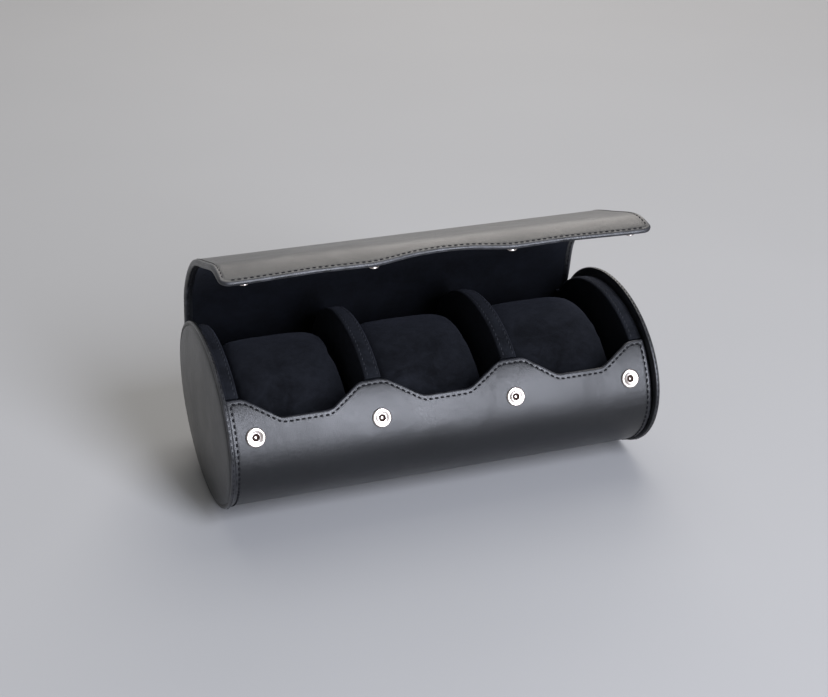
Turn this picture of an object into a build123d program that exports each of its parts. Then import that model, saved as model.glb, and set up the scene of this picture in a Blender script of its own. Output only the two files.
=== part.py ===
"""Travel roll for three wristwatches.

An oval leather trough with padded end caps is split by two dividers into three
cushioned bays. A two-panel lid hinged along the back folds over the top and
fastens to the front panel with four press studs. It is modelled half open.
"""

import os
from math import cos, hypot, radians, sin

from build123d import *

os.makedirs("parts", exist_ok=True)

# --- Driving dimensions (mm, degrees) ----------------------------------------
# X runs along the roll, Y to the back, where the lid is hinged, and Z up.
# Oval sections are centred on the roll's axis. Each has a half depth along Y and
# a half height along Z, and angles on it run from the back (0) over the top (90)
# and the front (180) to the bottom (270).
axis_height = 53.5          # roll's axis above the surface it stands on
body_length = 282.0         # trough and lid, between the end caps

front_half_depth = 72.5     # trough's outside, at the front
front_half_height = 56.8    # trough's outside, above its middle
lower_half_height = 54.0    # trough's outside, below its middle
lid_half_depth = 78.6       # outside of the closed lid and of the back
lid_half_height = 62.4

leather_thickness = 1.4
board_thickness = 1.6
lining_thickness = 1.2

hinge_angle = 26.0          # where the lid's first panel leaves the back
fold_angle = 122.0          # where the flap leaves the first panel
joint_gap_angle = 0.3       # half of the gap across the hinge and the fold
hinge_opening = 33.5        # how far each stands open
fold_opening = 20.5

# Scalloped top edge of the front panel: high at the walls, low at the bays
panel_high_angle = 139.0
panel_low_angle = 153.0
scallop_angle = 146.0       # direction in which the edge is cut through
inner_high_length = 16.5    # high stretch in front of each divider
inner_high_offset = 1.05    # its centre, beyond the divider's
outer_high_length = 11.3    # high stretch at each end
inner_slope_length = 22.7   # from the middle bay's low stretch up to the divider
side_slope_length = 21.0    # from the divider down to the side bay
outer_slope_length = 21.7   # from the side bay up to the end
scallop_radius = 12.0

# Wavy front edge of the flap, as angles on the closed oval
edge_cut_angle = 165.0      # direction in which the edge is cut through
edge_middle_angle = 160.4
edge_snap_angle = 166.2
edge_bay_angle = 165.3
edge_end_angle = 167.0
edge_bay_distance = 34.3    # deepest point in a side bay, from the divider's centre
flap_corner_radius = 6.0
cut_margin = 10.0           # how far cutting outlines run past the ends

# Walls across the trough
divider_thickness = 10.8
end_wall_thickness = 9.2
band_thickness = 1.2        # rim band round each wall
face_thickness = 1.0        # suede on each wall's faces
rim_clearance = 0.4         # between the walls' rims and the closed lid, at the front
rim_drop = 2.2              # the same, at the top
rim_step_angle = 137.4      # where a wall's rim steps out over the front panel

# End caps
cap_half_depth = 76.5
cap_half_height = 57.0
cap_forward = 2.0           # its centre, in front of the roll's axis
cap_raise = 3.3             # its centre, above the roll's axis
cap_rim_width = 2.2
cap_rim_height = 2.0
cap_rim_round = 0.9
cap_board_thickness = 1.2
cap_thickness = 3.3         # from the trough's end to the pad's outer face
cap_pad_round = 1.8
cap_pad_clearance = 0.05    # between the pad and the rim round it

# Cushions
cushion_half_depth = 60.0
cushion_half_height = 45.2
cushion_end_clearance = 6.3 # between a bay's walls and its cushion
cushion_tilt = 8.0          # raises the back of the oval
cushion_offset = 4.0        # towards the back
cushion_clearance = 0.3     # above the lining
cushion_crown = ((0.0, 1.0), (0.55, 0.995), (0.8, 0.975), (0.94, 0.925), (1.0, 0.86))

# Press studs
snap_angle = 162.8
outer_snap_inset = 15.3     # from the trough's end
inner_snap_inset = 0.7      # from the divider's centre, towards the middle
socket_cap_radius = 6.25
socket_cap_height = 1.3
socket_cap_round = 0.8
socket_body_radius = 4.4
socket_body_depth = 2.6
socket_pocket_radius = 4.5
socket_bore_radius = 1.45
socket_bore_depth = 3.3
stud_flange_radius = 3.6
stud_pocket_radius = 3.7
stud_flange_proud = 0.3
stud_flange_depth = 1.6
stud_knob_radius = 1.1
stud_knob_height = 2.4
stud_knob_round = 0.5

# --- Worked out from the above ------------------------------------------------
board_depth = leather_thickness
lining_depth = leather_thickness + board_thickness
wall_depth = lining_depth + lining_thickness
layers = {
    "leather": (0.0, board_depth),
    "board": (board_depth, lining_depth),
    "lining": (lining_depth, wall_depth),
}
half_body = body_length / 2
bay_length = (half_body - divider_thickness - end_wall_thickness) * 2 / 3
divider_place = (bay_length + divider_thickness) / 2
bay_centre = half_body - end_wall_thickness - bay_length / 2
outer_snap_place = half_body - outer_snap_inset
inner_snap_place = divider_place - inner_snap_inset
snap_places = (-outer_snap_place, -inner_snap_place, inner_snap_place, outer_snap_place)


def oval_point(half_depth, half_height, angle):
    """Point (y, z) at an angle on an oval centred on the roll's axis."""
    return (half_depth * cos(radians(angle)), half_height * sin(radians(angle)))


def oval_normal(half_depth, half_height, angle):
    """Outward unit normal (y, z) at an angle on an oval."""
    across = cos(radians(angle)) / half_depth
    up = sin(radians(angle)) / half_height
    return (across / hypot(across, up), up / hypot(across, up))


def oval_arc(half_depth, half_height, start, end):
    """Stretch of an oval, drawn in a section plane."""
    return EllipticalCenterArc(
        (0, 0), half_depth, half_height, start_angle=start, arc_size=end - start
    )


hinge_point = oval_point(lid_half_depth, lid_half_height, hinge_angle)
fold_point = oval_point(lid_half_depth, lid_half_height, fold_angle)


def turned(point, pivot, opening):
    """Point (y, z) turned about a pivot, over the top towards the back."""
    across = point[0] - pivot[0]
    up = point[1] - pivot[1]
    c = cos(radians(opening))
    s = sin(radians(opening))
    return (pivot[0] + across * c + up * s, pivot[1] - across * s + up * c)


def on_body(point):
    """Place of a point of the trough, whose pieces stay where they are."""
    return point


def on_lid(point):
    """Place of a closed-lid point once the lid's first panel stands open."""
    return turned(point, hinge_point, hinge_opening)


def on_flap(point):
    """Place of a closed-flap point once the panel and the flap stand open."""
    return on_lid(turned(point, fold_point, fold_opening))


def section_plane(place, x):
    """Plane across the roll, with the roll's axis, as placed, at its origin."""
    origin = place((0, 0))
    across = place((1, 0))
    return Plane(
        origin=(x, origin[0], axis_height + origin[1]),
        x_dir=(0, across[0] - origin[0], across[1] - origin[1]),
        z_dir=(1, 0, 0),
    )


def surface_plane(place, point, normal, x=0.0):
    """Plane facing along a normal (y, z), with its first direction along X."""
    origin = place(point)
    tip = place((point[0] + normal[0], point[1] + normal[1]))
    return Plane(
        origin=(x, origin[0], axis_height + origin[1]),
        x_dir=(1, 0, 0),
        z_dir=(0, tip[0] - origin[0], tip[1] - origin[1]),
    )


def height_along(point, normal):
    """Height of a point (y, z) in a surface plane through the roll's axis."""
    return point[0] * normal[1] - point[1] * normal[0]


def save(part, name, colour):
    """Label a finished piece and write it to its own file."""
    part.label = name
    part.color = Color(*colour)
    export_step(part, "parts/" + name + ".step")


black_leather = (0.05, 0.05, 0.06)
grey_board = (0.35, 0.31, 0.26)
dark_suede = (0.07, 0.08, 0.11)
nickel = (0.75, 0.75, 0.76)
colours = {"leather": black_leather, "board": grey_board, "lining": dark_suede}

snap_normal = oval_normal(front_half_depth, front_half_height, snap_angle)
socket_point = oval_point(front_half_depth, front_half_height, snap_angle)
socket_planes = [surface_plane(on_body, socket_point, snap_normal, x) for x in snap_places]
stud_point = oval_point(lid_half_depth - wall_depth, lid_half_height - wall_depth, snap_angle)
inward_normal = (-snap_normal[0], -snap_normal[1])
stud_planes = [surface_plane(on_flap, stud_point, inward_normal, x) for x in snap_places]


# --- Trough: front panel, bottom and back in one curve ------------------------
def trough_contour(inset):
    """Trough's contour at a depth inside its outside, from the front panel round to the hinge."""
    front = oval_arc(front_half_depth - inset, front_half_height - inset, panel_high_angle - 6, 180)
    oval_arc(front_half_depth - inset, lower_half_height - inset, 180, 270)
    oval_arc(lid_half_depth - inset, lower_half_height - inset, 270, 360)
    back = oval_arc(
        lid_half_depth - inset, lid_half_height - inset, 0, hinge_angle - joint_gap_angle
    )
    return front @ 0, back @ 1


scallop_normal = oval_normal(front_half_depth, front_half_height, scallop_angle)
scallop_high = height_along(
    oval_point(front_half_depth, front_half_height, panel_high_angle), scallop_normal
)
scallop_low = height_along(
    oval_point(front_half_depth, front_half_height, panel_low_angle), scallop_normal
)
cut_start = front_half_depth / 2
cut_depth = front_half_depth
scallop_top = scallop_high + cut_start
inner_high_start = divider_place + inner_high_offset - inner_high_length / 2
inner_high_end = inner_high_start + inner_high_length
centre_low_end = inner_high_start - inner_slope_length
side_low_start = inner_high_end + side_slope_length
outer_high_start = half_body - outer_high_length
side_low_end = outer_high_start - outer_slope_length


def scallop_outline():
    """Everything above the front panel's scalloped edge."""
    past_end = half_body + cut_margin
    half_edge = [
        (centre_low_end, scallop_low),
        (inner_high_start, scallop_high),
        (inner_high_end, scallop_high),
        (side_low_start, scallop_low),
        (side_low_end, scallop_low),
        (outer_high_start, scallop_high),
        (past_end, scallop_high),
    ]
    other_half = [(-x, height) for x, height in reversed(half_edge)]
    edge = FilletPolyline(*other_half, *half_edge, radius=scallop_radius)
    Polyline(edge @ 0, (-past_end, scallop_top), (past_end, scallop_top), edge @ 1)


for layer, (outer_inset, inner_inset) in layers.items():
    with BuildPart() as trough:
        with BuildSketch(section_plane(on_body, -half_body)):
            with BuildLine():
                outer_start, outer_end = trough_contour(outer_inset)
                inner_start, inner_end = trough_contour(inner_inset)
                Line(outer_start, inner_start)
                Line(outer_end, inner_end)
            make_face()
        extrude(amount=body_length)
        # pockets for the press-stud sockets
        for plane in socket_planes:
            with BuildSketch(plane.offset(-socket_body_depth)):
                Circle(socket_pocket_radius)
            extrude(amount=2 * socket_body_depth, mode=Mode.SUBTRACT)
        # the scalloped edge of the front panel
        with BuildSketch(surface_plane(on_body, (0, 0), scallop_normal).offset(cut_start)):
            with BuildLine():
                scallop_outline()
            make_face()
        extrude(amount=cut_depth, mode=Mode.SUBTRACT)
        # the flat that the roll stands on
        if layer == "leather":
            split(bisect_by=Plane.XY, keep=Keep.TOP)
    save(trough.part, "trough_" + layer, colours[layer])


# --- Walls: two dividers and two end walls ------------------------------------
def wall_outline(inset):
    """Outline of a wall: the trough's inside, and the rim that the closed lid covers."""
    inside = wall_depth + inset
    rim_half_depth = lid_half_depth - inside - rim_clearance
    rim_half_height = lid_half_height - inside - rim_drop
    back = oval_arc(lid_half_depth - inside, lid_half_height - inside, 0, hinge_angle)
    top = oval_arc(rim_half_depth, rim_half_height, hinge_angle, rim_step_angle)
    front = oval_arc(front_half_depth - inside, front_half_height - inside, rim_step_angle, 180)
    oval_arc(front_half_depth - inside, lower_half_height - inside, 180, 270)
    oval_arc(lid_half_depth - inside, lower_half_height - inside, 270, 360)
    Line(back @ 1, top @ 0)
    Line(top @ 1, front @ 0)


def wall_slab(start, thickness):
    """Solid inside a wall's rim band, between two places along X."""
    with BuildPart() as slab:
        with BuildSketch(section_plane(on_body, start)):
            with BuildLine():
                wall_outline(band_thickness)
            make_face()
        extrude(amount=thickness)
    return slab.part


def make_wall(name, start, thickness, suede_left, suede_right):
    """Padded core, a suede face on each side that shows, and the band round the rim."""
    core_start = start + face_thickness * suede_left
    core_thickness = thickness - face_thickness * (suede_left + suede_right)
    save(wall_slab(core_start, core_thickness), name + "_core", grey_board)
    if suede_left:
        save(wall_slab(start, face_thickness), name + "_left_face", dark_suede)
    if suede_right:
        right_start = start + thickness - face_thickness
        save(wall_slab(right_start, face_thickness), name + "_right_face", dark_suede)

    with BuildPart() as band:
        with BuildSketch(section_plane(on_body, start)):
            with BuildLine():
                wall_outline(0)
            make_face()
            with BuildLine():
                wall_outline(band_thickness)
            make_face(mode=Mode.SUBTRACT)
        extrude(amount=thickness)
    save(band.part, name + "_rim_band", black_leather)


make_wall("left_end_wall", -half_body, end_wall_thickness, 0, 1)
make_wall("left_divider", -divider_place - divider_thickness / 2, divider_thickness, 1, 1)
make_wall("right_divider", divider_place - divider_thickness / 2, divider_thickness, 1, 1)
make_wall("right_end_wall", half_body - end_wall_thickness, end_wall_thickness, 1, 0)

# --- End caps: a board, a padded leather face and a turned rim ----------------
pad_half_depth = cap_half_depth - cap_rim_width
pad_half_height = cap_half_height - cap_rim_width

for side, direction in (("left", -1), ("right", 1)):
    cap_plane = Plane(
        origin=(direction * half_body, -cap_forward, axis_height + cap_raise),
        x_dir=(0, 1, 0),
        z_dir=(direction, 0, 0),
    )

    with BuildPart() as cap_board:
        with BuildSketch(cap_plane):
            Ellipse(pad_half_depth, pad_half_height)
        extrude(amount=cap_board_thickness)
    save(cap_board.part, side + "_cap_board", grey_board)

    with BuildPart() as cap_rim:
        with BuildSketch(cap_plane):
            Ellipse(cap_half_depth, cap_half_height)
            Ellipse(pad_half_depth, pad_half_height, mode=Mode.SUBTRACT)
        extrude(amount=cap_rim_height)
        outer_face = cap_rim.faces().sort_by(Axis.X)[0 if direction < 0 else -1]
        outer_edge = outer_face.edges().sort_by(SortBy.LENGTH)[-1]
        fillet(outer_edge, radius=cap_rim_round)
        split(bisect_by=Plane.XY, keep=Keep.TOP)
    save(cap_rim.part, side + "_cap_rim", black_leather)

    with BuildPart() as cap_pad:
        with BuildSketch(cap_plane.offset(cap_board_thickness)):
            Ellipse(pad_half_depth - cap_pad_clearance, pad_half_height - cap_pad_clearance)
        extrude(amount=cap_thickness - cap_board_thickness)
        outer_face = cap_pad.faces().sort_by(Axis.X)[0 if direction < 0 else -1]
        fillet(outer_face.edges(), radius=cap_pad_round)
    save(cap_pad.part, side + "_cap_leather", black_leather)

# --- Cushions: crowned ovals with drawn-in ends --------------------------------
tilt = radians(cushion_tilt)
cushion_reach = hypot(cushion_half_height * cos(tilt), cushion_half_depth * sin(tilt))
lining_bottom = -(lower_half_height - wall_depth)
cushion_centre = (cushion_offset, lining_bottom + cushion_clearance + cushion_reach)
cushion_half_length = bay_length / 2 - cushion_end_clearance
crown_left = [(-share, scale) for share, scale in reversed(cushion_crown[1:])]

for bay, middle in (("left", -bay_centre), ("middle", 0), ("right", bay_centre)):
    with BuildPart() as cushion:
        for share, scale in crown_left + list(cushion_crown):
            with BuildSketch(section_plane(on_body, middle + share * cushion_half_length)):
                with Locations(Location((*cushion_centre, 0), (0, 0, cushion_tilt))):
                    Ellipse(cushion_half_depth * scale, cushion_half_height * scale)
        loft()
    save(cushion.part, bay + "_cushion", dark_suede)

# --- Lid: a first panel from the hinge and a flap from the fold -----------------
edge_normal = oval_normal(lid_half_depth, lid_half_height, edge_cut_angle)


def edge_height(angle):
    """Height of the flap's edge in its cutting plane, for an angle on the closed lid."""
    return height_along(oval_point(lid_half_depth, lid_half_height, angle), edge_normal)


def flap_edge_outline():
    """Everything past the flap's wavy front edge and its rounded corners."""
    end_height = edge_height(edge_end_angle)
    corner_start = half_body - flap_corner_radius
    corner_top = end_height + flap_corner_radius
    half_edge = [
        (inner_snap_place, edge_height(edge_snap_angle)),
        (divider_place + edge_bay_distance, edge_height(edge_bay_angle)),
        (outer_snap_place, end_height),
        (corner_start, end_height),
    ]
    other_half = [(-x, height) for x, height in reversed(half_edge)]
    middle = (0, edge_height(edge_middle_angle))
    edge = Spline(*other_half, middle, *half_edge, tangents=[(1, 0), (1, 0)])
    left_corner = TangentArc(edge @ 0, (-half_body, corner_top), tangent=(-1, 0))
    right_corner = TangentArc(edge @ 1, (half_body, corner_top), tangent=(1, 0))
    past_end = half_body + cut_margin
    below = end_height - cut_start
    Polyline(
        left_corner @ 1,
        (-past_end, corner_top),
        (-past_end, below),
        (past_end, below),
        (past_end, corner_top),
        right_corner @ 1,
    )


def lid_outline(start_angle, end_angle, outer_inset, inner_inset):
    """Outline of a curved layer of the lid between two angles and two depths."""
    outer = oval_arc(
        lid_half_depth - outer_inset, lid_half_height - outer_inset, start_angle, end_angle
    )
    inner = oval_arc(
        lid_half_depth - inner_inset, lid_half_height - inner_inset, start_angle, end_angle
    )
    Line(outer @ 0, inner @ 0)
    Line(outer @ 1, inner @ 1)


panel_start = hinge_angle + joint_gap_angle
panel_end = fold_angle - joint_gap_angle
flap_start = fold_angle + joint_gap_angle
flap_end = edge_end_angle + 8

for layer, (outer_inset, inner_inset) in layers.items():
    with BuildPart() as panel:
        with BuildSketch(section_plane(on_lid, -half_body)):
            with BuildLine():
                lid_outline(panel_start, panel_end, outer_inset, inner_inset)
            make_face()
        extrude(amount=body_length)
    save(panel.part, "lid_" + layer, colours[layer])

    with BuildPart() as flap:
        with BuildSketch(section_plane(on_flap, -half_body)):
            with BuildLine():
                lid_outline(flap_start, flap_end, outer_inset, inner_inset)
            make_face()
        extrude(amount=body_length)
        with BuildSketch(surface_plane(on_flap, (0, 0), edge_normal).offset(cut_start)):
            with BuildLine():
                flap_edge_outline()
            make_face()
        extrude(amount=cut_depth, mode=Mode.SUBTRACT)
        # pockets for the studs, in the lining
        for plane in stud_planes:
            with BuildSketch(plane.offset(-stud_flange_depth)):
                Circle(stud_pocket_radius)
            extrude(amount=2 * stud_flange_depth, mode=Mode.SUBTRACT)
    save(flap.part, "flap_" + layer, colours[layer])

# --- Press studs: sockets in the front panel, studs under the flap --------------
snap_names = ("far_left", "left", "right", "far_right")

for name, plane in zip(snap_names, socket_planes):
    with BuildPart() as socket:
        with BuildSketch(plane):
            Circle(socket_cap_radius)
        extrude(amount=socket_cap_height)
        cap_edge = socket.edges().filter_by(GeomType.CIRCLE).sort_by(Axis(plane.origin, plane.z_dir))
        fillet(cap_edge[-1], radius=socket_cap_round)
        with BuildSketch(plane):
            Circle(socket_body_radius)
        extrude(amount=-socket_body_depth)
        with BuildSketch(plane.offset(socket_cap_height)):
            Circle(socket_bore_radius)
        extrude(amount=-socket_bore_depth, mode=Mode.SUBTRACT)
    save(socket.part, "snap_socket_" + name, nickel)

for name, plane in zip(snap_names, stud_planes):
    with BuildPart() as stud:
        with BuildSketch(plane.offset(-stud_flange_depth)):
            Circle(stud_flange_radius)
        extrude(amount=stud_flange_depth + stud_flange_proud)
        with BuildSketch(plane.offset(stud_flange_proud)):
            Circle(stud_knob_radius)
        extrude(amount=stud_knob_height - stud_flange_proud)
        knob_edge = stud.edges().filter_by(GeomType.CIRCLE).sort_by(Axis(plane.origin, plane.z_dir))
        fillet(knob_edge[-1], radius=stud_knob_round)
    save(stud.part, "snap_stud_" + name, nickel)
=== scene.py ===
"""Looks of a leather travel roll for three wristwatches: forms, materials, light and camera."""

from math import cos, pi, radians, sin

import bpy
import numpy as np
from mathutils import Matrix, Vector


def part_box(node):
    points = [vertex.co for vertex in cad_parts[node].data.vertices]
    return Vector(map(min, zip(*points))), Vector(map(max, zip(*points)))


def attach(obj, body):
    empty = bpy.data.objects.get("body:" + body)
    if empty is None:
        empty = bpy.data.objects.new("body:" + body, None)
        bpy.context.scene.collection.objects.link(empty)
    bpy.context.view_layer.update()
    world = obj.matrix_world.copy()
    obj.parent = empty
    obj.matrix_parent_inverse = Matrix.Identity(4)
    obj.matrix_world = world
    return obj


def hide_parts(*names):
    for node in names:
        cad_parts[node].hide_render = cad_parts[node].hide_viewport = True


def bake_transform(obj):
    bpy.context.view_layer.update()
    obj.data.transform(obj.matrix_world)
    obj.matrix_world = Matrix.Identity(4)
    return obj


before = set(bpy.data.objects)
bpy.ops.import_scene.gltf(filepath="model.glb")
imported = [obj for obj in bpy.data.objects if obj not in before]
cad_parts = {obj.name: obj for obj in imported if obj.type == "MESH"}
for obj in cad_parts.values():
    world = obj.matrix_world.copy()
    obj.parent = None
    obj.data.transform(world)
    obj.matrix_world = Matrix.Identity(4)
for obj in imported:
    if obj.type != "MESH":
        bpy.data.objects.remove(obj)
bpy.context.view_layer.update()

# --- Sizes (mm, degrees), the same as the frame's ------------------------------------
# Ovals are centred on the roll's axis. Angles on them run from the back (0) over the
# top (90) and the front (180) to the bottom (270), and on to the back again (360).
axis_height = 53.5
half_body = 141.0
front_semi = (72.5, 56.8)
lower_half_height = 54.0
lid_semi = (78.6, 62.4)
wall_depth = 4.2
belly = 1.2                     # how far the front panel swells out below its press studs
belly_rise, belly_fall = (160.0, 188.0), (190.0, 235.0)

hinge_angle, hinge_opening, hinge_bend = 26.0, 33.5, (6.0, 60.0)
fold_angle, fold_opening, fold_bend = 122.0, 20.5, (92.0, 152.0)
back_seam_angle = 6.0           # where the trough's leather passes into the lid's
lid_seam_angle = 76.0           # where the lid's first panel passes into the flap's sheet

panel_low_angle = 153.0
panel_high_angle = 139.0
scallop = (
    (0, panel_low_angle), (15.8, panel_low_angle),
    (38.5, panel_high_angle), (55, panel_high_angle),
    (76, panel_low_angle), (108, panel_low_angle),
    (129.7, panel_high_angle), (160, panel_high_angle),
)
scallop_softness = 4.0

flap_edge = (
    (0, 160.4), (18, 161.5), (36, 165.0), (45, 166.2), (62, 165.8),
    (80, 165.3), (104, 166.2), (125.7, 167), (145, 167),
)
flap_softness = 8.0
flap_corner_radius = 7.0
flap_edge_thinning = 1.0
lid_margin = 5.6                # leather round the lid's suede
lid_clearance = 0.25            # between the lid's sides and the caps it closes against

divider_thickness = 10.8
end_wall_thickness = 9.2
bay_length = (half_body - divider_thickness - end_wall_thickness) * 2 / 3
divider_place = (bay_length + divider_thickness) / 2
rim_clearance, rim_drop = 0.4, 2.2
rim_step_angle = 137.4
right_wall_drop = 2.2           # how much lower the right end wall's rim is

cap_semi = (76.5, 57.0)
cap_centre = (-2.0, 3.3)
cap_bulge = 2.8

cushion_semi = (60.0, 45.2)
cushion_half_length = 36.0
cushion_tilt = 8.0
cushion_centre = (4.0, -3.97)
cushion_filling = 1.5           # what the simulation adds to the cover's form

snap_places = (-125.7, -45.0, 45.0, 125.7)
snap_names = ("far_left", "left", "right", "far_right")
snap_angle = 162.8

stitch_pitch = 3.8
stitch_length = 2.4
stitch_radius = 0.62
fine_stitch_radius = 0.32       # on the lid, the walls and the caps
stitch_inset = 3.3
stitch_depth = 0.12             # how deep the thread's middle lies in the leather


# --- Geometry of the roll ------------------------------------------------------------
def ease(x):
    """Smooth step from 0 to 1."""
    t = np.clip(x, 0, 1)
    return t * t * (3 - 2 * t)


def ease_over(x, span):
    """Smooth step from 0 to 1 over a span."""
    return ease((x - span[0]) / (span[1] - span[0]))


def oval(angles, semi, depth):
    """Points (y, z) at angles on an oval, at a depth inside it."""
    a = np.radians(angles)
    return np.stack([(semi[0] - depth) * np.cos(a), (semi[1] - depth) * np.sin(a)], -1)


def trough_oval(angles, depth):
    """Trough's section, from the front panel's edge round under and up the back."""
    a = np.asarray(angles, float)
    semi_y = np.where(a < 270, front_semi[0], lid_semi[0])
    semi_z = np.where(a < 180, front_semi[1], np.where(a < 360, lower_half_height, lid_semi[1]))
    swell = belly * ease_over(a, belly_rise) * (1 - ease_over(a, belly_fall))
    r = np.radians(a)
    y = (semi_y + swell - depth) * np.cos(r)
    z = (semi_z + swell - depth) * np.sin(r)
    return np.stack([y, np.maximum(z, -axis_height)], -1)


def turned(points, pivot, degrees):
    """Points (y, z) turned about a pivot, over the top towards the back."""
    a = np.radians(degrees)
    across = points[..., 0] - pivot[0]
    up = points[..., 1] - pivot[1]
    y = pivot[0] + across * np.cos(a) + up * np.sin(a)
    z = pivot[1] - across * np.sin(a) + up * np.cos(a)
    return np.stack([y, z], -1)


hinge_point = oval(hinge_angle, lid_semi, 0)
fold_point = oval(fold_angle, lid_semi, 0)


def lid_oval(angles, depth):
    """Lid's section as it stands open, bending smoothly at the hinge and at the fold."""
    closed = oval(angles, lid_semi, depth)
    folded = turned(closed, fold_point, ease_over(angles, fold_bend) * fold_opening)
    return turned(folded, hinge_point, ease_over(angles, hinge_bend) * hinge_opening)


def softened(points, softness):
    """Function of |x| through the points, with its corners rounded."""
    step = 0.25
    xs = np.arange(-20, 170, step)
    raw = np.interp(np.abs(xs), *zip(*points))
    count = int(softness / step) * 2 + 1
    window = np.hanning(count + 2)[1:-1]
    extended = np.pad(raw, count // 2, mode="edge")
    smooth = np.convolve(extended, window / window.sum(), mode="valid")
    return lambda x: np.interp(np.abs(x), xs, smooth)


scallop_angle_at = softened(scallop, scallop_softness)
flap_angle_at = softened(flap_edge, flap_softness)


def arc_table(section, start, end):
    """Angles along a section, with the distance along it to each."""
    angles = np.linspace(start, end, 1201)
    points = section(angles, 0.0)
    steps = np.hypot(*np.diff(points, axis=0).T)
    return angles, np.concatenate([[0], np.cumsum(steps)])


# --- Meshes --------------------------------------------------------------------------
def make_object(name, vertices, faces, materials, face_materials=None):
    """Smooth mesh object from vertices in mm about the roll's axis."""
    mesh = bpy.data.meshes.new(name)
    points = np.asarray(vertices, float) * 0.001
    points[:, 2] += axis_height * 0.001
    mesh.from_pydata(points.tolist(), [], faces)
    for material in materials:
        mesh.materials.append(material)
    mesh.polygons.foreach_set("use_smooth", [True] * len(mesh.polygons))
    if face_materials is not None:
        mesh.polygons.foreach_set("material_index", face_materials)
    mesh.update()
    piece = bpy.data.objects.new(name, mesh)
    bpy.context.scene.collection.objects.link(piece)
    return piece


def get_points(mesh):
    """Places of a mesh's vertices in metres."""
    values = np.empty(len(mesh.vertices) * 3)
    mesh.vertices.foreach_get("co", values)
    return values.reshape(-1, 3)


def set_wear_and_highlight(piece, values):
    """How much each point is lightened, from 0 to 1: wear along edges, and a painted highlight
    where edges and the cap's lines catch the light.
    """
    attribute = piece.data.attributes.new("wear_and_highlight", "FLOAT", "POINT")
    attribute.data.foreach_set("value", np.asarray(values, np.float32))


def grid_faces(rows, columns, first=0, flip=False, wrap=False):
    """Quads of a grid of points, row by row."""
    faces = []
    last = columns if wrap else columns - 1
    for i in range(rows - 1):
        for j in range(last):
            a = first + i * columns + j
            b = first + i * columns + (j + 1) % columns
            c = first + (i + 1) * columns + (j + 1) % columns
            d = first + (i + 1) * columns + j
            faces.append((a, d, c, b) if flip else (a, b, c, d))
    return faces


def ring_face(first, count, flip=False):
    """One face across a ring of points."""
    ring = tuple(range(first, first + count))
    return ring[::-1] if flip else ring


edge_steps = (0.0, 0.12, 0.4, 0.8, 1.3, 1.9, 2.4, 2.8, 3.2, 3.6, 4.0, 4.6, 5.4, 6.4)
column_step, row_step = 2.2, 1.6
side_rounding, start_rounding, end_rounding = 1.5, 1.2, 1.9
groove_depth, groove_width = 0.14, 0.6
# Where the edges' lightening starts and how far it reaches: wear, and a painted highlight on the
# rounded edge.
wear_and_highlight_start, wear_and_highlight_reach = 1.0, 2.2
thinning_reach = 8.0
no_edge = 1e3                   # distance to an edge that isn't there


def graded(length, step, fine_start, fine_end):
    """Distances along a sheet, close together near its finished edges."""
    head = np.array(edge_steps if fine_start else (0.0,))
    tail = length - np.array(edge_steps if fine_end else (0.0,))[::-1]
    count = max(int((tail[0] - head[-1]) / step), 1)
    middle = np.linspace(head[-1], tail[0], count + 1)[1:-1]
    return np.concatenate([head, middle, tail])


def rounding(distance, width):
    """How far a rounded edge falls from the surface at a distance from the edge."""
    share = 1 - np.clip(distance / width, 0, 1)
    return wall_depth / 2 * (1 - np.sqrt(np.maximum(1 - share * share, 0)))


def stitch_groove(distance):
    """Dip in the leather along a line of stitching."""
    return groove_depth * np.exp(-(((distance - stitch_inset) / groove_width) ** 2))


def sheet_lengths(first, last, finished):
    """Distances along the section of a sheet's points, column by column."""
    base = graded(float((last - first).min()), row_step, *finished)
    head = len(edge_steps) if finished[0] else 1
    tail = len(base) - (len(edge_steps) if finished[1] else 1)
    body = (base - base[head - 1]) / (base[tail] - base[head - 1])
    lengths = np.empty((len(first), len(base)))
    for row, start, end in zip(lengths, first, last):
        low = start + base[head - 1]
        high = end - (base[-1] - base[tail])
        row[:] = low + body * (high - low)
        row[:head] = start + base[:head]
        row[tail:] = end - (base[-1] - base[tail:])
    return lengths


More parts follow.
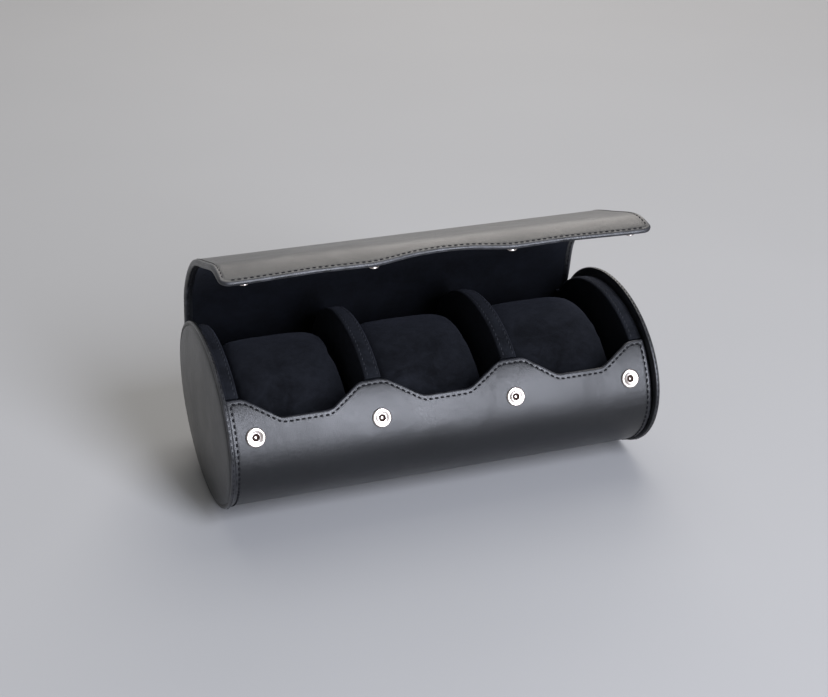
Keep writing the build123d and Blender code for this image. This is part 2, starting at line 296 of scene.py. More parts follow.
def thick_sheet(
    name, section, start_at, end_at, finished, materials,
    margin=0.0, corner=0.0, thinner=0.0, clearance=0.0,
):
    """Leather and suede round a board: a curved sheet with rounded, stitched edges.

    start_at and end_at give the section's angle at each x, and finished says whether
    the start and the end are edges or pass into another sheet. Inside, a leather margin
    runs round the suede. The corners at the end are rounded and the sheet gets thinner
    towards it. The clearance is left free at both sides.
    """
    half_width = half_body - clearance
    columns = graded(2 * half_width, column_step, True, True) - half_width
    starts = np.array([start_at(x) for x in columns], float)
    ends = np.array([end_at(x) for x in columns], float)
    table_angles, table_lengths = arc_table(section, starts.min() - 1, ends.max() + 1)
    first = np.interp(starts, table_angles, table_lengths)
    last = np.interp(ends, table_angles, table_lengths)
    side = half_width - np.abs(columns)
    if corner:
        near = np.clip(corner - side, 0, corner)
        last = last - (corner - np.sqrt(corner**2 - near**2))

    lengths = sheet_lengths(first, last, finished)
    shape = lengths.shape
    angles = np.interp(lengths, table_lengths, table_angles)
    from_side = np.repeat(side[:, None], shape[1], 1)
    from_start = lengths - first[:, None] if finished[0] else np.full(shape, no_edge)
    from_end = last[:, None] - lengths if finished[1] else np.full(shape, no_edge)
    nearest = np.minimum(np.minimum(from_side, from_start), from_end)
    falls = np.maximum.reduce([
        rounding(from_side, side_rounding),
        rounding(from_start, start_rounding),
        rounding(from_end, end_rounding),
    ])
    groove = stitch_groove(nearest)
    thinned = thinner * ease(1 - from_end / thinning_reach)
    outer = section(angles, falls + groove)
    inner = section(angles, wall_depth - thinned - falls - groove * (margin > 0))

    x = np.repeat(columns[:, None], shape[1], 1)
    vertices = [
        np.dstack([x, skin[..., 0], skin[..., 1]]).reshape(-1, 3) for skin in (outer, inner)
    ]
    faces = grid_faces(*shape) + grid_faces(*shape, first=x.size, flip=True)
    cell = (nearest[:-1, :-1] + nearest[1:, 1:]).ravel() / 2
    indices = np.concatenate([np.zeros(len(cell), int), np.where(cell > margin, 1, 0)])
    piece = make_object(name, np.vstack(vertices), faces, materials, indices.tolist())
    # Lighter towards the finished edges: edge wear, and a painted highlight where the rounded edge
    # catches the light.
    set_wear_and_highlight(piece, np.tile(ease(1 - (nearest.ravel() - wear_and_highlight_start) / wear_and_highlight_reach), 2))
    return piece


# Along a stitch, from end to end: (share of its half length, share of its girth, height)
stitch_profile = (
    (-1.0, 0.3, -0.28), (-0.86, 0.85, 0.0), (-0.4, 1.0, 0.16),
    (0.4, 1.0, 0.16), (0.86, 0.85, 0.0), (1.0, 0.3, -0.28),
)
stitch_sides = 7
stitch_slant = 0.09


def stitch_points(path, lift_directions, girth):
    """Vertices and faces of thread segments laid end to end along a path."""
    steps = np.linalg.norm(np.diff(path, axis=0), axis=1)
    lengths = np.concatenate([[0], np.cumsum(steps)])
    count = max(int(lengths[-1] / stitch_pitch), 1)
    pitch = lengths[-1] / count
    half = pitch * stitch_length / stitch_pitch / 2
    vertices, faces = [], []

    def at(values, where):
        return np.stack([np.interp(where, lengths, values[:, k]) for k in range(3)], -1)

    for middle in (np.arange(count) + 0.5) * pitch:
        ends = at(path, np.array([middle - half, middle + half]))
        direction = ends[1] - ends[0]
        direction /= np.linalg.norm(direction) + 1e-9
        up = at(lift_directions, np.array([middle]))[0]
        up -= direction * up.dot(direction)
        up /= np.linalg.norm(up) + 1e-9
        across = np.cross(direction, up)
        slant = direction + across * stitch_slant
        centre = ends.mean(0)
        first = len(vertices)
        for along, share, height in stitch_profile:
            ring_centre = centre + slant * along * half + up * height
            for k in range(stitch_sides):
                a = 2 * pi * k / stitch_sides
                offset = across * cos(a) + up * sin(a)
                vertices.append(ring_centre + offset * girth * share)
        faces += grid_faces(len(stitch_profile), stitch_sides, first, wrap=True)
        faces.append(ring_face(first, stitch_sides, flip=True))
        faces.append(ring_face(len(vertices) - stitch_sides, stitch_sides))
    return vertices, faces


def stitch_rows(name, rows, material, girth):
    """One object of stitching along several paths, each with its lift directions."""
    vertices, faces = [], []
    for path, lift in rows:
        more, more_faces = stitch_points(np.asarray(path, float), np.asarray(lift, float), girth)
        faces += [tuple(index + len(vertices) for index in face) for face in more_faces]
        vertices += more
    return make_object(name, np.array(vertices), faces, [material])


def section_row(section, xs, angles, depth, inner=False):
    """Path over a section's surface, with the directions away from it."""
    surface = section(angles, depth)
    lift = surface - section(angles, depth + 1.0)
    if inner:
        lift = -lift
    path = np.column_stack([xs, surface[:, 0], surface[:, 1]])
    return path, np.column_stack([np.zeros(len(path)), lift[:, 0], lift[:, 1]])


# --- Materials -----------------------------------------------------------------------
class Nodes:
    """Small helper to wire a material's nodes."""

    def __init__(self, name):
        self.material = bpy.data.materials.new(name)
        self.material.use_nodes = True
        self.tree = self.material.node_tree
        self.shader = self.tree.nodes["Principled BSDF"]
        self.place = self.add("ShaderNodeTexCoord").outputs["Object"]

    def add(self, kind, **settings):
        node = self.tree.nodes.new(kind)
        for key, value in settings.items():
            setattr(node, key, value)
        return node

    def fill(self, node, **values):
        for key, value in values.items():
            node.inputs[key.replace("_", " ")].default_value = value

    def link(self, output, socket):
        self.tree.links.new(output, socket)

    def set(self, **values):
        self.fill(self.shader, **values)

    def feed(self, **outputs):
        for key, value in outputs.items():
            self.link(value, self.shader.inputs[key.replace("_", " ")])

    def noise(self, scale, detail=4.0, roughness=0.55, distortion=0.0):
        node = self.add("ShaderNodeTexNoise")
        self.fill(node, Scale=scale, Detail=detail, Roughness=roughness, Distortion=distortion)
        self.link(self.place, node.inputs["Vector"])
        return node.outputs["Fac"]

    def cells(self, scale):
        node = self.add("ShaderNodeTexVoronoi", feature="DISTANCE_TO_EDGE")
        self.fill(node, Scale=scale)
        self.link(self.place, node.inputs["Vector"])
        return node.outputs["Distance"]

    def ramp(self, value, low, high, low_result=0.0, high_result=1.0):
        node = self.add("ShaderNodeMapRange")
        self.fill(node, From_Min=low, From_Max=high, To_Min=low_result, To_Max=high_result)
        self.link(value, node.inputs["Value"])
        return node.outputs["Result"]

    def mix(self, share):
        """New mix of two colours: its sockets for both of them, and its result."""
        node = self.add("ShaderNodeMix", data_type="RGBA")
        self.link(share, node.inputs["Factor"])
        return [socket for socket in (*node.inputs, *node.outputs) if socket.type == "RGBA"]

    def colour(self, share, first, second):
        a, b, result = self.mix(share)
        a.default_value = (*first, 1)
        b.default_value = (*second, 1)
        return result

    def mix_colours(self, share, first, second):
        a, b, result = self.mix(share)
        self.link(first, a)
        self.link(second, b)
        return result

    def math(self, kind, first, second):
        node = self.add("ShaderNodeMath", operation=kind)
        for socket, value in zip(node.inputs, (first, second)):
            if isinstance(value, (int, float)):
                socket.default_value = value
            else:
                self.link(value, socket)
        return node.outputs["Value"]

    def attribute(self, name):
        return self.add("ShaderNodeAttribute", attribute_name=name).outputs["Fac"]

    def bump(self, height, distance, strength=1.0, after=None):
        node = self.add("ShaderNodeBump")
        self.fill(node, Strength=strength, Distance=distance)
        self.link(height, node.inputs["Height"])
        if after:
            self.link(after, node.inputs["Normal"])
        return node.outputs["Normal"]


def leather_material(name, base, worn_and_lit, roughness=0.33):
    """Smooth calf leather: fine grain, soft unevenness, lighter along its edges from wear and from
    a painted highlight.
    """
    n = Nodes(name)
    mottle = n.ramp(n.noise(26, detail=5.0, roughness=0.6), 0.3, 0.7)
    plain = n.colour(mottle, base, tuple(1.5 * c for c in base))
    # Lightened edges, broken up by noise: edge wear and a painted highlight.
    wear_and_highlight = n.math("MULTIPLY", n.attribute("wear_and_highlight"), n.ramp(n.noise(160), 0.35, 0.7))
    worn_and_lit_colour = n.add("ShaderNodeRGB").outputs[0]
    worn_and_lit_colour.default_value = (*worn_and_lit, 1)
    n.feed(Base_Color=n.mix_colours(wear_and_highlight, plain, worn_and_lit_colour))
    smudge = n.ramp(n.noise(17), 0.3, 0.7, roughness - 0.06, roughness + 0.07)
    grain = n.ramp(n.noise(2400, detail=2.0), 0.3, 0.7, -0.04, 0.04)
    n.feed(Roughness=n.math("ADD", smudge, grain))
    unevenness = n.noise(19, detail=3.0, roughness=0.45, distortion=0.5)
    broad = n.bump(unevenness, distance=0.0050, strength=0.30)
    wrinkles = n.noise(210, detail=5.0, roughness=0.62)
    creases = n.bump(wrinkles, distance=0.00035, strength=0.26, after=broad)
    pores = n.ramp(n.cells(1150), 0.0, 0.12)
    n.feed(Normal=n.bump(pores, distance=0.00007, strength=0.42, after=creases))
    n.set(Specular_IOR_Level=0.58)
    return n.material


def suede_material(name, base, high):
    """Brushed suede: a soft nap lying in patches, lighter where it stands up."""
    n = Nodes(name)
    patches = n.ramp(n.noise(30, detail=5.0, roughness=0.6, distortion=1.1), 0.36, 0.66)
    strokes = n.ramp(n.noise(150, detail=5.0, roughness=0.66, distortion=0.8), 0.4, 0.68)
    fibres = n.ramp(n.noise(1900, detail=3.0, roughness=0.7), 0.25, 0.75)
    nap = n.math("ADD", n.math("MULTIPLY", patches, 0.5), n.math("MULTIPLY", strokes, 0.32))
    share = n.math("ADD", nap, n.math("MULTIPLY", fibres, 0.25))
    n.feed(Base_Color=n.colour(share, base, high))
    soft = n.bump(n.noise(60), distance=0.0016, strength=0.45)
    n.feed(Normal=n.bump(n.noise(1500, roughness=0.75), distance=0.0004, strength=0.7, after=soft))
    n.set(Roughness=0.96, Specular_IOR_Level=0.15, Sheen_Weight=0.12, Sheen_Roughness=0.45)
    n.set(Sheen_Tint=(0.35, 0.38, 0.5, 1))
    return n.material


def thread_material(name, dark, light):
    """Waxed thread with a twist."""
    n = Nodes(name)
    wave = n.add("ShaderNodeTexWave", bands_direction="DIAGONAL")
    n.fill(wave, Scale=900)
    n.link(n.place, wave.inputs["Vector"])
    twist = wave.outputs["Fac"]
    n.feed(Base_Color=n.colour(twist, dark, light))
    n.feed(Normal=n.bump(twist, distance=0.0001, strength=0.6))
    n.set(Roughness=0.65, Specular_IOR_Level=0.2)
    return n.material


def nickel_material():
    """Polished nickel with fine scratches and a slightly dulled bloom."""
    n = Nodes("polished_nickel")
    n.feed(Roughness=n.ramp(n.noise(420), 0.35, 0.7, 0.18, 0.32))
    bloom = n.ramp(n.noise(300, detail=3.0), 0.3, 0.7)
    n.feed(Base_Color=n.colour(bloom, (0.54, 0.48, 0.45), (0.66, 0.60, 0.56)))
    n.feed(Normal=n.bump(n.noise(2600, detail=2.0), distance=0.00002, strength=0.3))
    n.set(Metallic=1.0)
    return n.material


def painted_shade_socket_material():
    """Painted shade for the hollow of a press stud's socket: a mottled dark brown, not metal."""
    n = Nodes("socket_painted_shade")
    # Mottle of the painted shade.
    shade_mottle = n.ramp(n.noise(900, detail=3.0), 0.3, 0.7)
    n.feed(Base_Color=n.colour(shade_mottle, (0.014, 0.007, 0.005), (0.05, 0.026, 0.018)))
    n.feed(Normal=n.bump(n.noise(2000, detail=2.0), distance=0.00004, strength=0.4))
    n.set(Roughness=0.6, Specular_IOR_Level=0.2)
    return n.material


# The third colour is the lighter edge colour: wear, and a painted highlight where edges catch the
# light.
leather = leather_material("black_leather", (0.004, 0.0045, 0.0056), (0.05, 0.051, 0.058))
suede = suede_material("dark_suede", (0.0008, 0.0011, 0.002), (0.0048, 0.006, 0.0098))
# The bands' suede is a lighter copy of the walls' suede: painted light, as the rim faces up to the
# lamps.
lit_band_suede = suede_material("lit_band_suede", (0.0015, 0.0018, 0.0026), (0.0145, 0.0162, 0.021))
cushion_suede = suede_material("cushion_suede", (0.0011, 0.0014, 0.0022), (0.0138, 0.0154, 0.0202))
thread = thread_material("black_thread", (0.0025, 0.0025, 0.0035), (0.011, 0.011, 0.014))
grey_thread = thread_material("grey_thread", (0.012, 0.013, 0.016), (0.045, 0.048, 0.056))
nickel = nickel_material()
socket_painted_shade = painted_shade_socket_material()


# --- Trough and lid ------------------------------------------------------------------
trough_skin = thick_sheet(
    "trough_skin",
    trough_oval,
    scallop_angle_at,
    lambda x: 360 + back_seam_angle,
    (True, False),
    [leather, suede],
)
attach(trough_skin, "trough")
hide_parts("trough_leather", "trough_board", "trough_lining")

lid_sheet = thick_sheet(
    "lid_sheet",
    lid_oval,
    lambda x: back_seam_angle,
    lambda x: lid_seam_angle,
    (False, False),
    [leather, suede],
    margin=lid_margin,
    clearance=lid_clearance,
)
flap_sheet = thick_sheet(
    "flap_sheet",
    lid_oval,
    lambda x: lid_seam_angle,
    flap_angle_at,
    (False, True),
    [leather, suede],
    margin=lid_margin,
    corner=flap_corner_radius,
    thinner=flap_edge_thinning,
    clearance=lid_clearance,
)


def bend_at_hinge(piece):
    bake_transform(piece)


def bend_at_fold(piece):
    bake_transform(piece)


bend_at_hinge(lid_sheet)
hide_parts("lid_leather", "lid_board", "lid_lining")
bend_at_fold(flap_sheet)
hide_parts("flap_leather", "flap_board", "flap_lining")


# --- Stitching on the trough and the lid ---------------------------------------------
def along_edge(section, span, angle_at, inset, xs, depth, inner=False):
    """Stitching that follows a wavy edge, a fixed distance along the section from it."""
    angles, lengths = arc_table(section, *span)
    where = np.interp(angle_at(xs), angles, lengths) + inset
    return section_row(section, xs, np.interp(where, lengths, angles), depth, inner)


def along_side(section, x, start, end, count, depth, inner=False):
    """Stitching along a sheet's side."""
    return section_row(section, np.full(count, x), np.linspace(start, end, count), depth, inner)


side_x = half_body - stitch_inset
panel_start_angle = panel_high_angle + 3.2
trough_end_angle = 360 + back_seam_angle
panel_xs = np.linspace(-side_x, side_x, 400)
panel_rows = [
    along_edge(trough_oval, (130, 370), scallop_angle_at, stitch_inset, panel_xs, stitch_depth)
]
for x in (-side_x, side_x):
    panel_rows.append(
        along_side(trough_oval, x, panel_start_angle, trough_end_angle, 300, stitch_depth)
    )
panel_stitching = stitch_rows("panel_stitching", panel_rows, thread, stitch_radius)
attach(panel_stitching, "trough")

flap_end_angle = flap_angle_at(side_x) - 5.5
inner_depth = wall_depth - stitch_depth
inner_edge_depth = wall_depth - 0.8         # the flap is thinner at its edge
edge_xs = np.linspace(-side_x + 3.5, side_x - 3.5, 400)
lid_rows = []
flap_rows = []
for x in (-side_x, side_x):
    for depth, inner in ((stitch_depth, False), (inner_depth, True)):
        lid_rows.append(
            along_side(lid_oval, x, back_seam_angle, lid_seam_angle, 150, depth, inner)
        )
        flap_rows.append(
            along_side(lid_oval, x, lid_seam_angle, flap_end_angle, 150, depth, inner)
        )
for depth, inner in ((stitch_depth, False), (inner_edge_depth, True)):
    flap_rows.append(
        along_edge(lid_oval, (0, 175), flap_angle_at, -stitch_inset, edge_xs, depth, inner)
    )
lid_stitching = stitch_rows("lid_stitching", lid_rows, thread, fine_stitch_radius)
bend_at_hinge(lid_stitching)
flap_stitching = stitch_rows("flap_stitching", flap_rows, thread, fine_stitch_radius)
bend_at_fold(flap_stitching)


# --- Walls ---------------------------------------------------------------------------
# Over a wall's rim, from a face to the band's middle: (distance from the face, depth in)
padded_face = (
    (0.0, 40.0), (0.0, 22.0), (0.0, 9.0), (0.0, 4.0), (0.0, 2.2),
    (0.06, 1.5), (0.3, 0.75), (0.8, 0.28), (1.4, 0.08),
)
flat_face = ((0.0, 40.0), (0.0, 9.0), (0.0, 1.0), (0.1, 0.3), (0.4, 0.1))
band_inset = 2.2                # where the band is stitched down
band_edge = ((1.9, 0.12), (band_inset, 0.22), (2.5, 0.12), (3.2, -0.02))
band_rise = 0.04
band_stitch_depth = 0.16


def wall_contour(angles, inset, sunk):
    """Wall's outline: inside the trough, and out to the rim under the closed lid."""
    a = np.asarray(angles, float) % 360
    in_rim = (a > hinge_angle) & (a < rim_step_angle)
    in_front = (a >= rim_step_angle) & (a < 270)
    semi_y = np.select(
        [in_rim, in_front],
        [lid_semi[0] - rim_clearance - sunk, front_semi[0]],
        lid_semi[0],
    )
    semi_z = np.select(
        [in_rim, a <= hinge_angle, a < 180],
        [lid_semi[1] - rim_drop - sunk, lid_semi[1], front_semi[1]],
        lower_half_height,
    )
    r = np.radians(a)
    return (semi_y - wall_depth - inset) * np.cos(r), (semi_z - wall_depth - inset) * np.sin(r)


def wall_profile(thickness, flat_left, flat_right):
    """Cross-section over a wall's rim: (distance from its left face, depth in from the rim)."""
    left = (*(flat_face if flat_left else padded_face), *band_edge)
    right = (*(flat_face if flat_right else padded_face), *band_edge)
    mirrored = ((thickness - x, depth) for x, depth in reversed(right))
    return [*left, (thickness / 2, -band_rise), *mirrored]


def make_wall(name, start, thickness, nodes, flat_left=False, flat_right=False, sunk=0.0):
    """Padded wall: suede faces, and a stitched suede band over its rim."""
    angles = np.concatenate([
        np.arange(0, rim_step_angle - 0.4, 1.2),
        [rim_step_angle - 0.3, rim_step_angle + 0.3],
        np.arange(rim_step_angle + 1, 360, 1.8),
    ])
    count = len(angles)
    profile = wall_profile(thickness, flat_left, flat_right)
    rings = []
    for x, depth in profile:
        y, z = wall_contour(angles, depth, sunk)
        rings.append(np.column_stack([np.full(count, start + x), y, z]))
    points = np.vstack(rings)
    faces = grid_faces(len(profile), count, wrap=True)
    faces.append(ring_face(0, count))
    faces.append(ring_face(len(points) - count, count, flip=True))
    on_band = [abs(depth) < 1 and 0 < x < thickness for x, depth in profile[:-1]]
    indices = [int(band) for band in on_band for _ in range(count)] + [0, 0]
    # The band over the rim gets the lighter suede, a painted light for the rim that faces up.
    wall = make_object(name, points, faces, [suede, lit_band_suede], indices)
    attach(wall, "trough")
    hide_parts(*nodes)

    around = np.linspace(-20, rim_step_angle + 20, 260)
    around = around[(around % 360 < rim_step_angle - 1) | (around < 0)]
    y, z = wall_contour(around, band_stitch_depth, sunk)
    outward = np.column_stack([np.zeros(len(around)), y, z])
    insets = [] if flat_left else [band_inset]
    if not flat_right:
        insets.append(thickness - band_inset)
    rows = [(outward + (start + inset, 0, 0), outward) for inset in insets]
    stitching = stitch_rows(name + "_stitching", rows, grey_thread, fine_stitch_radius)
    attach(stitching, "trough")


make_wall(
    "left_end_wall_padding", -half_body, end_wall_thickness,
    ["left_end_wall" + part for part in ("_core", "_right_face", "_rim_band")],
    flat_left=True,
)
for divider, place in (("left_divider", -divider_place), ("right_divider", divider_place)):
    make_wall(
        divider + "_padding", place - divider_thickness / 2, divider_thickness,
        [divider + part for part in ("_core", "_left_face", "_right_face", "_rim_band")],
    )
make_wall(
    "right_end_wall_padding", half_body - end_wall_thickness, end_wall_thickness,
    ["right_end_wall" + part for part in ("_core", "_left_face", "_rim_band")],
    flat_right=True, sunk=right_wall_drop,
)


# --- End caps ------------------------------------------------------------------------
# Over the cap, from behind it round its rim to its middle: (depth in from the rim, height
# above the trough's end)
cap_profile = (
    (14.0, 0.0), (5.0, 0.0), (1.2, 0.0), (0.4, 0.06), (0.1, 0.25), (0.0, 0.55), (0.0, 1.0),
    (0.0, 1.5), (0.04, 1.95), (0.16, 2.3), (0.4, 2.58), (0.75, 2.74), (1.2, 2.78), (1.7, 2.66),
    (2.1, 2.4), (2.4, 2.05), (2.6, 1.92), (2.8, 2.05), (3.1, 2.45), (3.6, 2.8), (4.4, 3.05),
    (5.5, 3.2), (7.0, 3.28), (9.0, 3.3), (12.0, 3.3), (16.0, 3.3), (21.0, 3.3), (27.0, 3.3),
    (34.0, 3.3), (42.0, 3.3), (50.0, 3.3),
)
cap_turns = 240
cap_groove_depth, cap_pad_reach = 2.6, 48.0
cap_back_height = 1.4           # below this, the profile is behind the cap or on its rim
# Painted highlight lines on the cap, on the ring's crest and on the pad's shoulder, where these
# catch the light.
cap_highlight_lines = ((0.9, 0.7), (0.7, 3.9))       # (strength, depth in from the rim)
cap_highlight_width = 0.8
cap_stitch_height, cap_stitch_depth = 1.2, 0.22


def make_cap(side, direction):
    """Padded leather end with a turned, stitched rim."""
    angles = np.linspace(0, 360, cap_turns + 1)[:-1]
    rings, wear_and_highlight = [], []
    for depth, height in cap_profile:
        points = oval(angles, cap_semi, depth) + cap_centre
        if height > cap_back_height:
            rise = min(max((depth - cap_groove_depth) / cap_pad_reach, 0), 1)
            height += cap_bulge * (1 - (1 - rise) ** 2)
        x = np.full(cap_turns, direction * (half_body + height))
        rings.append(np.column_stack([x, points[:, 0], np.maximum(points[:, 1], -axis_height)]))
        # Painted highlight along the ring's crest and the pad's shoulder, kept in the same
        # attribute as the edge wear.
        worn_and_lit = sum(
            strength * np.exp(-(((depth - line) / cap_highlight_width) ** 2))
            for strength, line in cap_highlight_lines
        )
        wear_and_highlight.append(np.full(cap_turns, worn_and_lit))
    vertices = np.vstack(rings)
    faces = grid_faces(len(cap_profile), cap_turns, flip=direction > 0, wrap=True)
    faces.append(ring_face(len(vertices) - cap_turns, cap_turns, flip=direction > 0))
    cap = make_object(side + "_cap_skin", vertices, faces, [leather])
    set_wear_and_highlight(cap, np.concatenate(wear_and_highlight))
    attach(cap, "trough")
    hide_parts(side + "_cap_leather", side + "_cap_rim", side + "_cap_board")

    around = np.linspace(-50, 230, 500)
    edge = oval(around, cap_semi, cap_stitch_depth) + cap_centre
    path = np.column_stack([np.full(len(edge), direction * (half_body + cap_stitch_height)), edge])
    outward = np.column_stack([np.zeros(len(edge)), edge - cap_centre])
    stitching = stitch_rows(side + "_cap_stitching", [(path, outward)], thread, fine_stitch_radius)
    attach(stitching, "trough")


make_cap("left", -1)
make_cap("right", 1)


# --- Cushions ------------------------------------------------------------------------
# Along half a cushion: (share of its half length, share of its section)
cushion_stations = (
    (0.0, 1.0), (0.3, 0.999), (0.55, 0.994), (0.72, 0.984), (0.84, 0.966),
    (0.93, 0.935), (0.98, 0.895), (1.0, 0.84), (1.0, 0.6), (0.99, 0.35),
)
cushion_turns = 96
cover_reach = 0.0024            # metres that a cover may reach past its solid


def cushion_form(name, middle):
    """Crowned oval bolster with drawn-in ends."""
    left = [(-share, scale) for share, scale in reversed(cushion_stations[1:])]
    angles = np.radians(np.linspace(0, 360, cushion_turns + 1)[:-1])
    tilt = radians(cushion_tilt)
    rings = []
    for share, scale in (*left, *cushion_stations):
        y = (cushion_semi[0] - cushion_filling) * scale * np.cos(angles)
        z = (cushion_semi[1] - cushion_filling) * scale * np.sin(angles)
        along = y * cos(tilt) - z * sin(tilt) + cushion_centre[0]
        up = y * sin(tilt) + z * cos(tilt) + cushion_centre[1]
        x = middle + share * (cushion_half_length - cushion_filling)
        rings.append(np.column_stack([np.full(cushion_turns, x), along, up]))
    vertices = np.vstack(rings)
    faces = grid_faces(len(rings), cushion_turns, wrap=True)
    faces.append(ring_face(0, cushion_turns))
    faces.append(ring_face(len(vertices) - cushion_turns, cushion_turns, flip=True))
    return make_object(name, vertices, faces, [cushion_suede])


def puff(piece, voxel=0.005, pressure=4.0, limit=0.0035, steps=20):
    """Fill a closed form by a short cloth simulation, with a limit on how far a point moves."""
    scene = bpy.context.scene
    mesh = piece.data
    bpy.context.view_layer.objects.active = piece
    piece.select_set(True)
    remesh = piece.modifiers.new("Remesh", "REMESH")
    remesh.mode = "VOXEL"
    remesh.voxel_size = voxel
    remesh.use_smooth_shade = True
    bpy.ops.object.modifier_apply(modifier=remesh.name)
    before = get_points(mesh)
    cloth = piece.modifiers.new("Cloth", "CLOTH")
    cloth.settings.quality = 6
    cloth.settings.mass = 0.25
    cloth.settings.use_pressure = True
    cloth.settings.uniform_pressure_force = pressure
    cloth.settings.effector_weights.gravity = 0
    cloth.point_cache.frame_start = 1
    cloth.point_cache.frame_end = steps
    for step in range(1, steps + 1):
        scene.frame_set(step)
    depsgraph = bpy.context.evaluated_depsgraph_get()
    move = get_points(piece.evaluated_get(depsgraph).data) - before
    piece.modifiers.remove(cloth)
    length = np.linalg.norm(move, axis=1, keepdims=True)
    move *= np.minimum(1, limit / np.maximum(length, 1e-9))
    mesh.vertices.foreach_set("co", (before + move).ravel())
    scene.frame_set(1)
    subdivide = piece.modifiers.new("Subdivision", "SUBSURF")
    subdivide.levels = 1
    subdivide.render_levels = 1
    bpy.ops.object.modifier_apply(modifier=subdivide.name)
    mesh.polygons.foreach_set("use_smooth", [True] * len(mesh.polygons))
    piece.select_set(False)


bay_centre = half_body - end_wall_thickness - bay_length / 2
for bay, middle in (("left", -bay_centre), ("middle", 0.0), ("right", bay_centre)):
    cushion = cushion_form(bay + "_cushion_cover", middle)
    puff(cushion)
    low, high = (np.array(corner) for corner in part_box(bay + "_cushion"))
    points = np.clip(get_points(cushion.data), low - cover_reach, high + cover_reach)
    cushion.data.vertices.foreach_set("co", points.ravel())
    cushion.data.update()
    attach(cushion, bay + "_cushion")
    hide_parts(bay + "_cushion")


# --- Press studs ---------------------------------------------------------------------
# From the middle of the front to the back: (radius, height above the leather)
socket_profile = (
    (0.2, 0.12), (0.62, 0.12), (0.8, 0.1), (1.3, 0.1), (1.7, 0.16), (1.95, 0.35), (2.1, 0.62),
    (2.3, 0.8), (2.5, 0.84), (2.8, 0.82), (3.3, 0.92), (3.9, 1.08), (4.5, 1.2), (5.1, 1.26),
    (5.6, 1.2), (5.95, 1.02), (6.18, 0.72), (6.25, 0.35), (6.2, 0.0), (5.8, -0.35), (4.4, -0.4),
    (4.3, -2.5), (0.3, -2.5),
)
# The rows of the socket's hollow that get the painted shade.
socket_dark_rows = (1, 8)       # rows from the first up to the second are its dark inside
stud_profile = (
    (0.2, 1.5), (0.6, 1.48), (0.95, 1.36), (1.1, 1.16), (1.08, 0.95), (0.95, 0.75), (1.0, 0.55),
    (1.25, 0.42), (1.7, 0.34), (2.4, 0.3), (3.0, 0.24), (3.45, 0.1), (3.6, -0.2), (3.5, -0.9),
    (0.3, -0.95),
)
snap_turns = 56


def lathe(name, profile, origin, normal, materials, dark_rows=(0, 0)):
    """Round piece turned about a normal (y, z), with its second material on some rows."""
    normal = np.array([0.0, normal[0], normal[1]])
    normal /= np.linalg.norm(normal)
    first = np.array([1.0, 0, 0])
    second = np.cross(normal, first)
    angles = np.linspace(0, 2 * pi, snap_turns + 1)[:-1]
    vertices = np.array([
        np.array(origin) + first * radius * cos(a) + second * radius * sin(a) + normal * height
        for radius, height in profile
        for a in angles
    ])
    faces = grid_faces(len(profile), snap_turns, flip=True, wrap=True)
    indices = [int(dark_rows[0] <= i // snap_turns < dark_rows[1]) for i in range(len(faces))]
    faces.append(ring_face(0, snap_turns))
    faces.append(ring_face(len(vertices) - snap_turns, snap_turns, flip=True))
    return make_object(name, vertices, faces, materials, indices + [0, 0])


def on_flap(point):
    """Place on the open flap of a point given with the lid closed."""
    return turned(turned(point, fold_point, fold_opening), hinge_point, hinge_opening)


socket_place = oval(snap_angle, front_semi, 0)
snap_normal = socket_place / np.array(front_semi) ** 2
snap_normal /= np.linalg.norm(snap_normal)
closed_stud = oval(snap_angle, lid_semi, wall_depth)
stud_place = on_flap(closed_stud)
stud_direction = on_flap(closed_stud - snap_normal) - stud_place

for name, x in zip(snap_names, snap_places):
    socket = lathe(
        "socket_" + name, socket_profile, (x, *socket_place), snap_normal,
        [nickel, socket_painted_shade], socket_dark_rows,
    )
    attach(socket, "trough")
    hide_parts("snap_socket_" + name)
    stud = lathe("stud_" + name, stud_profile, (x, *stud_place), stud_direction, [nickel])
    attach(stud, "flap")
    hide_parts("snap_stud_" + name)


# --- Studio --------------------------------------------------------------------------
floor_radius = 2.5
floor_sides = 192
room_light = 0.14
backdrop_light = 0.5
camera_azimuth, camera_elevation = 19.0, 25.0
camera_place = (-0.31510, -0.91513, 0.47834 + axis_height * 0.001)
camera_lens = 69.74


def make_floor():
    """Plain pale round floor."""
    n = Nodes("pale_floor")
    n.feed(Base_Color=n.colour(n.noise(3, detail=2.0), (0.49, 0.49, 0.49), (0.52, 0.52, 0.52)))
    n.set(Roughness=0.8, Specular_IOR_Level=0.2)
    turns = np.linspace(0, 2 * pi, floor_sides + 1)[:-1]
    rim = [(floor_radius * cos(turn), floor_radius * sin(turn), 0) for turn in turns]
    mesh = bpy.data.meshes.new("floor")
    mesh.from_pydata(rim, [], [ring_face(0, floor_sides)])
    mesh.materials.append(n.material)
    floor = bpy.data.objects.new("floor", mesh)
    bpy.context.scene.collection.objects.link(floor)


def put(name, data, place, back):
    """Lamp or camera at a place, upright, with its back towards a direction."""
    back = np.array(back, float)
    back /= np.linalg.norm(back)
    right = np.cross((0, 0, 1), back)
    right /= np.linalg.norm(right)
    up = np.cross(back, right)
    turn = Matrix([list(row) for row in np.column_stack([right, up, back])])
    holder = bpy.data.objects.new(name, data)
    bpy.context.scene.collection.objects.link(holder)
    holder.matrix_world = Matrix.Translation(place) @ turn.to_4x4()
    return holder


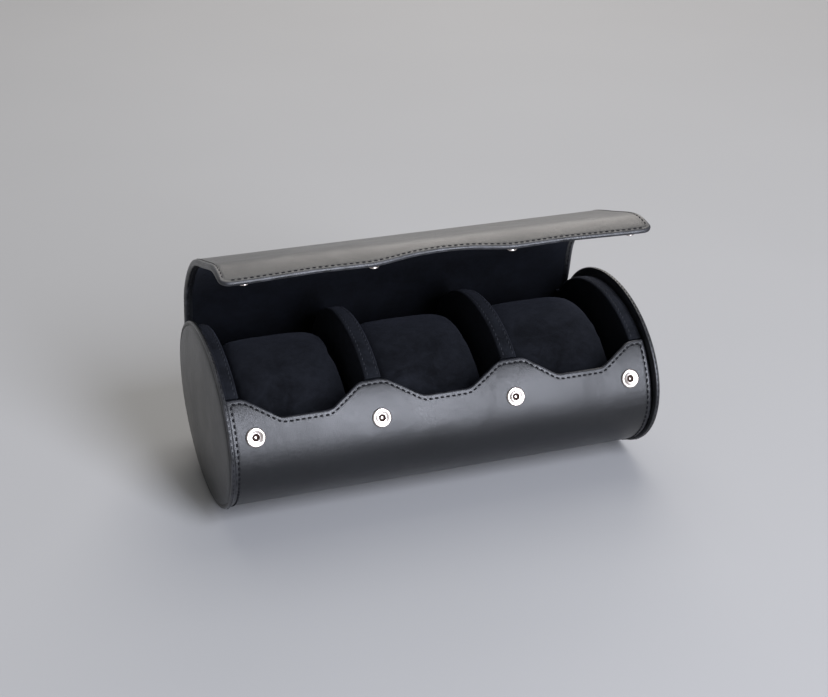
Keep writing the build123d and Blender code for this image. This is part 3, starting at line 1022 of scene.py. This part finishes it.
def make_softbox(name, place, target, size, energy, colour):
    """Rectangular area light aimed at a target."""
    lamp = bpy.data.lights.new(name, "AREA")
    lamp.shape = "RECTANGLE"
    lamp.size, lamp.size_y = size
    lamp.energy = energy
    lamp.color = colour
    put(name, lamp, place, np.subtract(place, target))


def make_world():
    """Dim room light, which the camera and reflections see as a pale backdrop."""
    world = bpy.data.worlds.new("studio")
    world.use_nodes = True
    tree = world.node_tree
    background = tree.nodes["Background"]
    background.inputs["Color"].default_value = (0.97, 0.98, 1.0, 1)
    rays = tree.nodes.new("ShaderNodeLightPath")
    seen = rays.outputs["Is Camera Ray"]
    for kind in ("Is Glossy Ray", "Is Transmission Ray"):
        either = tree.nodes.new("ShaderNodeMath")
        either.operation = "MAXIMUM"
        tree.links.new(seen, either.inputs[0])
        tree.links.new(rays.outputs[kind], either.inputs[1])
        seen = either.outputs["Value"]
    strength = tree.nodes.new("ShaderNodeMapRange")
    strength.inputs["To Min"].default_value = room_light
    strength.inputs["To Max"].default_value = backdrop_light
    tree.links.new(seen, strength.inputs["Value"])
    tree.links.new(strength.outputs["Result"], background.inputs["Strength"])
    bpy.context.scene.world = world


def make_camera():
    """Camera at the photograph's angle: from the front left, looking down."""
    azimuth, elevation = radians(camera_azimuth), radians(camera_elevation)
    back = (-sin(azimuth) * cos(elevation), -cos(azimuth) * cos(elevation), sin(elevation))
    camera = bpy.data.cameras.new("camera")
    camera.sensor_width = 36
    camera.lens = camera_lens
    camera.clip_start = 0.01
    bpy.context.scene.camera = put("camera", camera, camera_place, back)


make_floor()
make_world()
make_softbox(
    "front_softbox", (0.64, -2.12, 1.14), (0, 0, 0.12), (0.8, 2.45), 92, (0.84, 0.875, 1.0)
)
make_softbox("top_softbox", (0.3, 0.7, 2.2), (0, 0, 0.05), (1.6, 1.2), 16, (1.0, 0.985, 0.95))
make_softbox("back_softbox", (1.02, 2.2, 1.5), (0, 0, 0.15), (1.53, 1.98), 22, (1.0, 0.94, 0.89))
make_camera()
bpy.context.scene.view_settings.view_transform = "Standard"
